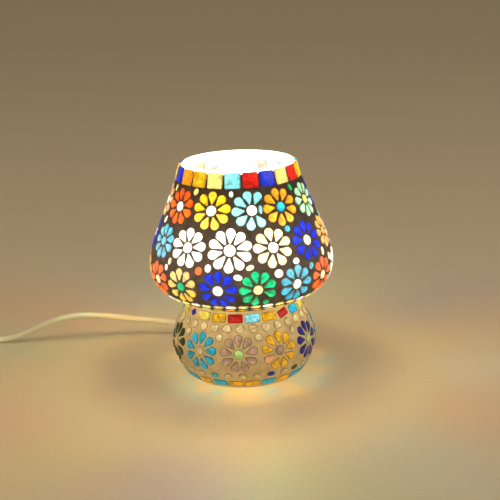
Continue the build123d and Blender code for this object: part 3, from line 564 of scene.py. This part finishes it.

# %% [markdown]
# ## The glass's colours
# Art glass is coloured through, slightly milky, and rolled with a hammered face. The milkiness
# scatters the bulb's light, so each piece glows in its own colour: that glow is painted on as
# emission, stronger near the bulb and level with it, where the painted glow burns out towards
# white. A little real transmission lets the bulb itself shine through, and shadow rays pass in
# the glass's colour, which throws coloured light on the table.

# %% Stained glass
GLASS_HEX = {
    "amber": "#F2AE10",
    "blue": "#0030D8",
    "clear": "#E8D498",
    "cyan": "#22BFE0",
    "lime": "#BFE38C",
    "mauve": "#A08068",
    "moss": "#1D4A22",
    "peach": "#F3BC86",
    "red": "#E01A12",
    "sky": "#8EE6F0",
    "yellow": "#F7D21E",
    "cream": "#FFEFA0",
    "green": "#0FC889",
    "mint": "#BFF2CC",
    "orange": "#F96C00",
    "white": "#FBFAF2",
}
# The base has deeper blue, paler mauve and clearer amber glass than the shade.
BASE_HEX = {"amber": "#F5C21A", "blue": "#0A14A0", "mauve": "#BC9C86", "yellow": "#F0DC60"}
# Deep glass needs more light behind it to look as bright as pale glass.
DEPTH = {"orange": 1.25, "blue": 0.85, "red": 0.8, "cyan": 0.95, "yellow": 0.95, "moss": 0.5}
# How far the painted glow level with the bulb burns a glass out to white: pale glass most, deep
# glass not.
BURN_OUT = {"white": 0.9, "cream": 0.7, "mint": 0.6, "sky": 0.6, "peach": 0.5, "yellow": 0.5}
BURN_OUT.update({"clear": 0.3, "cyan": 0.3, "lime": 0.3, "amber": 0.22, "orange": 0.08})
# How strong the painted glow is in each region: emission that stands in for the bulb's light.
GLOW = {"shade": 0.84, "base": 0.68}
THROUGH = {"shade": 0.25, "base": 0.10}
GLOW_CENTRE = {"shade": BULB_CENTRE, "base": Vector((0.0, 0.0, 72 * MM))}
GLOW_REACH = {"shade": 62 * MM, "base": 56 * MM}
BAND_HALF = 30 * MM
# About e, which makes the band fall off as a bell curve.
BELL_BASE = 2.718
# How far a piece's rim darkens: its ground edge's own dark, and painted shade on the dome's slope.
RIM_DARKNESS = {"shade": 0.7, "base": 0.85}


# The scales of the glass's patterns. Streaks and hammering are the real size. Real seeds, the small
# bubbles, are about 0.3 mm: they are drawn coarser, to be seen at all from this far.
STREAK = 4.0 * MM
MOTTLE = 2.2 * MM
SEED = 1.4 * MM
HAMMERING = 1.8 * MM


def falloff(tree, place, centre, reach, power):
    """How bright the light from that centre is: 1 at reach metres, less further away."""
    away = add_node(tree, VECTOR_MATH, {0: place, 1: centre}, "Value", operation="DISTANCE")
    nearness = add_node(tree, MATH, {0: reach, 1: away}, "Value", operation="DIVIDE")
    return add_node(tree, MATH, {0: nearness, 1: power}, "Value", operation="POWER")


def bulb_band(tree, place):
    """1 level with the bulb, less above and below it: where the bulb shines straight through."""
    height = add_node(tree, AXES, {"Vector": place}, "Z")
    off = add_node(tree, MATH, {0: height, 1: BULB_CENTRE.z}, "Value", operation="SUBTRACT")
    off = add_node(tree, MATH, {0: off, 1: BAND_HALF}, "Value", operation="DIVIDE")
    off = add_node(tree, MATH, {0: off, 1: off}, "Value", operation="MULTIPLY")
    fall = add_node(tree, MATH, {0: off, 1: -1.0}, "Value", operation="MULTIPLY")
    return add_node(tree, MATH, {0: BELL_BASE, 1: fall}, "Value", operation="POWER")


def finished(material, tree, surface, passing=None):
    """Ends a material with this surface.

    Where light passes, a shadow ray crosses two faces of a piece, which together colour it so.
    """
    shader = add_node(tree, SURFACE, surface, "BSDF")
    if passing is not None:
        each_face = [c**0.5 for c in passing[:3]] + [1.0]
        clear = add_node(tree, CLEAR, {"Color": each_face}, "BSDF")
        shadow = add_node(tree, RAY, give="Is Shadow Ray")
        shader = add_node(tree, EITHER, {0: shadow, 1: shader, 2: clear}, "Shader")
    add_node(tree, OUTPUT, {"Surface": shader})
    return material


def stained_glass(region, name):
    """Rolled art glass of that colour, lit from behind.

    Streaks of deeper colour run through it, each piece is a little paler or darker than the next,
    its ground edges are dark, and the slopes of its domes carry painted shade. Its glow is painted
    on as emission, which mottling makes uneven; seeds show as dark specks, and the hammered face
    breaks up the highlights.
    """
    material, tree, place = new_material(f"rolled art glass, {name}, {region}")
    own = linear(BASE_HEX.get(name, GLASS_HEX[name]) if region == "base" else GLASS_HEX[name])
    deep, pale, dark = scaled(own, 0.50), scaled(own, 0.96, 0.03), scaled(own, 0.12)
    tint = add_node(tree, LAYER, give="Fac", attribute_name="tint")
    rim = add_node(tree, LAYER, give="Fac", attribute_name="rim")

    pattern = {"Vector": place, "Scale": 1 / STREAK, "Detail": 3.0, "Roughness": 0.6}
    streaks = add_node(tree, NOISE, pattern, "Fac")
    share = add_node(tree, RANGE, {"Value": streaks, "From Min": 0.36, "From Max": 0.6}, "Result")
    mix = {SHARE: share, FIRST: deep, SECOND: own}
    colour = add_node(tree, COLOURS, mix, MIXED, data_type="RGBA")
    share = add_node(tree, RANGE, {"Value": tint, "To Max": 0.25}, "Result")
    mix = {SHARE: share, FIRST: colour, SECOND: pale}
    colour = add_node(tree, COLOURS, mix, MIXED, data_type="RGBA")
    # Painted shade on the dome's slope, with the ground edge's own dark.
    share = add_node(tree, MATH, {0: rim, 1: RIM_DARKNESS[region]}, "Value", operation="MULTIPLY")
    mix = {SHARE: share, FIRST: colour, SECOND: dark}
    colour = add_node(tree, COLOURS, mix, MIXED, data_type="RGBA")
    pattern = {"Vector": place, "Scale": 1 / SEED, "Detail": 3.0, "Roughness": 0.65}
    seeds = add_node(tree, NOISE, pattern, "Fac")
    cut_off = {"Value": seeds, "From Min": 0.60, "From Max": 0.70, "To Max": 0.7}
    mix = {SHARE: add_node(tree, RANGE, cut_off, "Result"), FIRST: colour, SECOND: dark}
    colour = add_node(tree, COLOURS, mix, MIXED, data_type="RGBA")

    # The painted glow: emission falling off from the light's centre, uneven, and stronger level
    # with the bulb.
    band = bulb_band(tree, place)
    pattern = {"Vector": place, "Scale": 1 / MOTTLE, "Detail": 3.0, "Roughness": 0.6}
    mottle = add_node(tree, NOISE, pattern, "Fac")
    uneven = {"Value": mottle, "From Min": 0.34, "From Max": 0.66, "To Min": 0.45, "To Max": 1.2}
    glow = falloff(tree, place, GLOW_CENTRE[region], GLOW_REACH[region], 2.0)
    for factor in (
        add_node(tree, RANGE, uneven, "Result"),
        add_node(tree, RANGE, {"Value": tint, "To Min": 0.85, "To Max": 1.15}, "Result"),
        GLOW[region] * DEPTH.get(name, 1.0),
        add_node(tree, RANGE, {"Value": band, "To Min": 0.9, "To Max": 1.5}, "Result"),
    ):
        glow = add_node(tree, MATH, {0: glow, 1: factor}, "Value", operation="MULTIPLY")
    # Painted highlight: level with the bulb, the glow's colour burns out towards white.
    burn_share = BURN_OUT.get(name, 0.0) if region == "shade" else 0.0
    burn_range = {"Value": band, "From Min": 0.25, "To Max": burn_share}
    share = add_node(tree, RANGE, burn_range, "Result")
    mix = {SHARE: share, FIRST: colour, SECOND: linear("#FFFDF4")}
    burnt_out_glow = add_node(tree, COLOURS, mix, MIXED, data_type="RGBA")

    pattern = {"Vector": place, "Scale": 1 / HAMMERING, "Detail": 1.0}
    hammered = add_node(tree, NOISE, pattern, "Fac")
    relief = {"Height": hammered, "Distance": 0.4 * MM, "Strength": 0.7}
    surface = {
        "Base Color": colour,
        "Roughness": 0.42,
        "IOR": 1.52,
        "Transmission Weight": THROUGH[region],
        "Coat Weight": 0.35,
        "Coat Roughness": 0.12,
        "Emission Color": burnt_out_glow,
        "Emission Strength": glow,
        "Normal": add_node(tree, BUMP, relief, "Normal"),
    }
    return finished(material, tree, surface, passing=own)


for node, piece in glass_pieces.items():
    region, name = node.split("_")[1:]
    piece.data.materials.clear()
    piece.data.materials.append(stained_glass(region, name))
print("glass colours", len(glass_pieces))

# %% [markdown]
# ## Grout finish
# Cement grout is matt and grainy. The shade's is dark, and the base's is a pale beige that lets
# some light through near the waist, so it glows like wax there. Both glows, a faint one in the
# shade's grout near the bulb and the base's near the waist, are painted on as emission. The sand
# grains are about 0.3 mm across, drawn at 0.6 mm so that they show, and its tone drifts over
# 6 mm, as wiped grout's does.

# %% Cement grout
SAND = 0.6 * MM
BLOTCH = 6.0 * MM
WAIST_MIDDLE = Vector((0.0, 0.0, 70 * MM))
SEEP_CENTRE = {"shade": BULB_CENTRE, "base": WAIST_MIDDLE}
SEEP_REACH = {"shade": 62 * MM, "base": 44 * MM}
SEEP_GLOW = {"shade": 0.03, "base": 0.62}
SEEP_BAND = {"shade": 0.13, "base": 0.0}


def grout(region, name, dark, light, glow_colour, passing):
    """Sanded cement grout with a painted glow near its light's centre, and level with the bulb."""
    material, tree, place = new_material(name)
    pattern = {"Vector": place, "Scale": 1 / SAND, "Detail": 4.0, "Roughness": 0.7}
    grain = add_node(tree, NOISE, pattern, "Fac")
    pattern = {"Vector": place, "Scale": 1 / BLOTCH, "Detail": 2.0}
    blotch = add_node(tree, NOISE, pattern, "Fac")
    share = add_node(tree, RANGE, {"Value": blotch, "From Min": 0.3, "From Max": 0.7}, "Result")
    mix = {SHARE: share, FIRST: linear(dark), SECOND: linear(light)}
    colour = add_node(tree, COLOURS, mix, MIXED, data_type="RGBA")
    speckle = {"Value": grain, "From Min": 0.3, "From Max": 0.7, "To Max": 0.35}
    share = add_node(tree, RANGE, speckle, "Result")
    mix = {SHARE: share, FIRST: colour, SECOND: linear(light)}
    colour = add_node(tree, COLOURS, mix, MIXED, data_type="RGBA")

    # Painted glow: emission near the light's centre and level with the bulb, made uneven by the
    # drift.
    near = falloff(tree, place, SEEP_CENTRE[region], SEEP_REACH[region], 3.0)
    near = add_node(tree, MATH, {0: near, 1: SEEP_GLOW[region]}, "Value", operation="MULTIPLY")
    band = bulb_band(tree, place)
    band = add_node(tree, MATH, {0: band, 1: SEEP_BAND[region]}, "Value", operation="MULTIPLY")
    glow = add_node(tree, MATH, {0: near, 1: band}, "Value", operation="ADD")
    drift = {"Value": blotch, "From Min": 0.3, "From Max": 0.7, "To Min": 0.8, "To Max": 1.2}
    drift = add_node(tree, RANGE, drift, "Result")
    glow = add_node(tree, MATH, {0: glow, 1: drift}, "Value", operation="MULTIPLY")
    surface = {
        "Base Color": colour,
        "Roughness": 0.88,
        "Emission Color": linear(glow_colour),
        "Emission Strength": glow,
        "Normal": add_node(tree, BUMP, {"Height": grain, "Distance": 0.12 * MM}, "Normal"),
    }
    return finished(material, tree, surface, passing=linear(passing))


finishes = {
    "shade": grout("shade", "dark cement grout", "#2E2720", "#544A3E", "#B89A80", "#6E604E"),
    "base": grout("base", "beige cement grout", "#B8A67E", "#D2C29C", "#EBC27C", "#C4B48C"),
}
for region, shell in shells.items():
    shell.data.materials.clear()
    shell.data.materials.append(finishes[region])
print("grout on", ", ".join(shells))

# %% [markdown]
# ## The blown glass vessel and the bulb
# The vessel is clear soda glass, blown into a mould, which leaves it slightly wavy. It is seen
# only at its rim and from inside. Light runs up inside the wall and leaves at the rim: that glow
# is painted on as emission, faint all over and stronger towards the top. The bulb's globe is opal
# plastic, so bright that it burns out.


# %% Clear glass and opal globe
def dress(names, material):
    """Gives CAD nodes a material through their own slots."""
    for name in names:
        mesh = nodes[name].data
        if mesh.materials:
            for index in range(len(mesh.materials)):
                mesh.materials[index] = material
        else:
            mesh.materials.append(material)


# The vessel's painted glow rises from faint to strong between these heights.
PIPED_FROM, PIPED_TO = 158 * MM, 165 * MM
clear_glass, tree, place = new_material("clear blown soda glass")
wave = {"Vector": place, "Scale": 1 / (20 * MM), "Detail": 1.0}
relief = {"Height": add_node(tree, NOISE, wave, "Fac"), "Distance": 0.4 * MM, "Strength": 0.4}
height = add_node(tree, AXES, {"Vector": place}, "Z")
piped = {"Value": height, "From Min": PIPED_FROM, "From Max": PIPED_TO}
piped.update({"To Min": 0.15, "To Max": 2.0})
surface = {
    "Base Color": linear("#F6F8F4"),
    "Roughness": 0.05,
    "IOR": 1.5,
    "Transmission Weight": 1.0,
    "Emission Color": linear("#FFF8E8"),
    "Emission Strength": add_node(tree, RANGE, piped, "Result"),
    "Normal": add_node(tree, BUMP, relief, "Normal"),
}
dress(["glass_body"], finished(clear_glass, tree, surface, passing=linear("#F6F8F4")))

OPAL_GLOW = 14.0
opal, tree, place = new_material("opal polycarbonate diffuser, lit")
pattern = {"Vector": place, "Scale": 1 / (10 * MM), "Detail": 2.0}
cloud = {"Value": add_node(tree, NOISE, pattern, "Fac"), "From Min": 0.3, "From Max": 0.7}
cloud.update({"To Min": 0.92, "To Max": 1.0})
cloud = add_node(tree, RANGE, cloud, "Result")
surface = {
    "Base Color": linear("#FFFDF6"),
    "Roughness": 0.35,
    "Emission Color": linear("#FFF3DC"),
    "Emission Strength": add_node(
        tree, MATH, {0: cloud, 1: OPAL_GLOW}, "Value", operation="MULTIPLY"
    ),
}
dress(["bulb_globe"], finished(opal, tree, surface, passing=linear("#FFFFFF")))
print("vessel and globe finished")

# %% [markdown]
# ## Moulded and metal parts
# The other parts are plain goods: a cream PVC lead with moulded switch and plug, a white
# thermoplastic lampholder with a steatite core, plated steel and brass. Each has the grain of its
# own process, under a millimetre across, which softens its highlights, and a slow drift of tone.


# %% Plain finishes
def moulded(name, hex_low, hex_high, roughness, grain_size, depth):
    """A plastic, rubber, felt or ceramic with a fine moulded grain and a slight unevenness."""
    material, tree, place = new_material(name)
    pattern = {"Vector": place, "Scale": 1 / grain_size, "Detail": 2.0}
    grain = add_node(tree, NOISE, pattern, "Fac")
    pattern = {"Vector": place, "Scale": 1 / (12 * MM), "Detail": 2.0}
    cloud = add_node(tree, NOISE, pattern, "Fac")
    share = add_node(tree, RANGE, {"Value": cloud, "From Min": 0.3, "From Max": 0.7}, "Result")
    mix = {SHARE: share, FIRST: linear(hex_low), SECOND: linear(hex_high)}
    finish = {"Value": grain, "From Min": 0.3, "From Max": 0.7}
    finish.update({"To Min": roughness - 0.05, "To Max": roughness + 0.05})
    surface = {
        "Base Color": add_node(tree, COLOURS, mix, MIXED, data_type="RGBA"),
        "Roughness": add_node(tree, RANGE, finish, "Result"),
        "Normal": add_node(tree, BUMP, {"Height": grain, "Distance": depth}, "Normal"),
    }
    return finished(material, tree, surface)


def metal(name, hex_low, hex_high, roughness, grain_size):
    """Plated or drawn metal with fine scratches and a patchy polish."""
    material, tree, place = new_material(name)
    pattern = {"Vector": place, "Scale": 1 / (4 * MM), "Detail": 3.0}
    patch = add_node(tree, NOISE, pattern, "Fac")
    pattern = {"Vector": place, "Scale": 1 / grain_size, "Detail": 2.0}
    fine = add_node(tree, NOISE, pattern, "Fac")
    share = add_node(tree, RANGE, {"Value": patch, "From Min": 0.3, "From Max": 0.7}, "Result")
    mix = {SHARE: share, FIRST: linear(hex_low), SECOND: linear(hex_high)}
    finish = {"Value": fine, "From Min": 0.3, "From Max": 0.7}
    finish.update({"To Min": roughness - 0.06, "To Max": roughness + 0.08})
    surface = {
        "Base Color": add_node(tree, COLOURS, mix, MIXED, data_type="RGBA"),
        "Metallic": 1.0,
        "Roughness": add_node(tree, RANGE, finish, "Result"),
        "Normal": add_node(tree, BUMP, {"Height": fine, "Distance": 0.01 * MM}, "Normal"),
    }
    return finished(material, tree, surface)


pvc = moulded("extruded cream PVC", "#F0EAD8", "#F7F2E4", 0.38, 0.8 * MM, 0.03 * MM)
mains_lead.data.materials.append(pvc)
cream_abs = moulded("moulded cream ABS", "#DDD5C2", "#E4DDCB", 0.32, 0.5 * MM, 0.02 * MM)
white = moulded("moulded white thermoplastic", "#DEDBD2", "#E8E5DD", 0.42, 0.6 * MM, 0.02 * MM)
mask = moulded("white solder mask", "#E9E9E6", "#F3F3F0", 0.45, 0.4 * MM, 0.01 * MM)
vitrite = moulded("black vitrite glass", "#0B0B0D", "#151518", 0.15, 2.0 * MM, 0.02 * MM)
steatite = moulded("pressed steatite", "#D9D4C8", "#E5E1D6", 0.7, 0.7 * MM, 0.05 * MM)
rubber = moulded("moulded black rubber", "#17171A", "#242427", 0.65, 0.6 * MM, 0.04 * MM)
felt = moulded("pressed black felt", "#16140F", "#2A2620", 0.95, 0.9 * MM, 0.2 * MM)
phosphor = moulded("yellow phosphor", "#E8C84A", "#F5DB6E", 0.6, 0.3 * MM, 0.01 * MM)
housing = moulded("white bulb housing", "#E6E6E4", "#F0F0EE", 0.33, 0.7 * MM, 0.01 * MM)
zinc = metal("zinc-plated steel", "#A9A9A4", "#C3C3BE", 0.38, 0.6 * MM)
brass = metal("drawn brass", "#B98E45", "#D3AC62", 0.32, 0.5 * MM)
nickel = metal("bright nickel plate", "#C4C1BA", "#D6D4CE", 0.2, 0.5 * MM)

dress(["strain_relief", "cord_lead", "plug_body"], pvc)
dress(["switch_base", "switch_cover", "switch_rocker"], cream_abs)
dress(["holder_body", "holder_ring"], white)
dress(["holder_core"], steatite)
dress(["bar_pads"], rubber)
dress(["base_pad"], felt)
dress(["bulb_insulator"], vitrite)
dress(["bulb_board"], mask)
dress(["bulb_leds"], phosphor)
dress(["bulb_housing"], housing)
dress(["upper_bar", "lower_strap", "nipple", "nipple_nuts", "switch_screws"], zinc)
dress(["holder_contact", "terminal_screws", "switch_contacts"], brass)
dress(["holder_shell", "bulb_cap", "bulb_contact", "plug_pins"], nickel)
print("plain finishes done")

# %% [markdown]
# ## The end
# The view layer is updated once more. The visual model has to stay inside the CAD model's
# box.

# %% Finish
bpy.context.view_layer.update()
